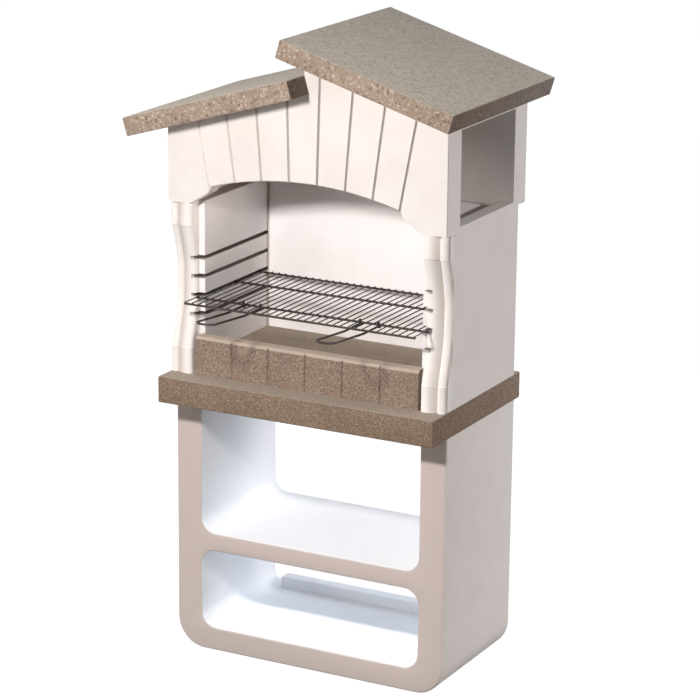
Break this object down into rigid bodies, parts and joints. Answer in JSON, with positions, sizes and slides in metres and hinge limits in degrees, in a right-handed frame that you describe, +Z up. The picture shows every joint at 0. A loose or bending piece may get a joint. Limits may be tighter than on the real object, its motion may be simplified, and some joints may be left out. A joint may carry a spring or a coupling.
{
  "type": "outdoor masonry barbecue",
  "caption": "Tall cast masonry barbecue with an open shelved base, worktop, grooved fire chamber, sliding grill with wire handles, plank-scored hood and stepped gable roof.",
  "frame": {"origin": "on the ground, under the middle of the base's footprint", "axes": "+Z up, +X to the right seen from the front, -Y towards the cook, so the front faces -Y"},
  "size_m": [1.1108, 0.8564, 2.011],
  "materials": {
    "white_render": "painted cement render, matt",
    "pale_render": "pale beige cement render, matt",
    "granulate": "brown washed granulate, rough",
    "roof_granulate": "grey-brown washed granulate, rough",
    "refractory_liner": "pale cast refractory, matt",
    "brown_refractory": "brown cast refractory with granulate",
    "steel_wire": "dark drawn wire"
  },
  "bodies": {
    "masonry": {"base_floor": "pale_render", "base_lower_left_wall": "pale_render", "base_lower_right_wall": "pale_render", "base_shelf": "pale_render", "base_upper_left_wall": "pale_render", "base_upper_right_wall": "pale_render", "base_rear_rail": "pale_render", "worktop_slab": "granulate", "chamber_left_panel": "white_render", "chamber_right_panel": "white_render", "chamber_back_panel": "white_render", "left_liner": "refractory_liner", "right_liner": "refractory_liner", "back_liner": "refractory_liner", "hearth_slab": "brown_refractory", "ember_guard": "brown_refractory", "left_column": "white_render", "right_column": "white_render", "hood_front_panel": "white_render", "hood_left_panel": "white_render", "hood_right_panel": "white_render", "hood_back_panel": "white_render", "ridge_beam": "white_render", "roof_left_slab": "roof_granulate", "roof_right_slab": "roof_granulate"},
    "grill": {"grill_grid": "steel_wire", "grill_front_rest_wire": "steel_wire", "grill_rear_rest_wire": "steel_wire", "grill_left_handle": "steel_wire", "grill_right_handle": "steel_wire"}
  },
  "joints": [
    {"name": "grill_slide", "type": "slide", "parent": "masonry", "child": "grill", "axis": [0, -1, 0], "range_m": [-0.034, 0.12]}
  ]
}
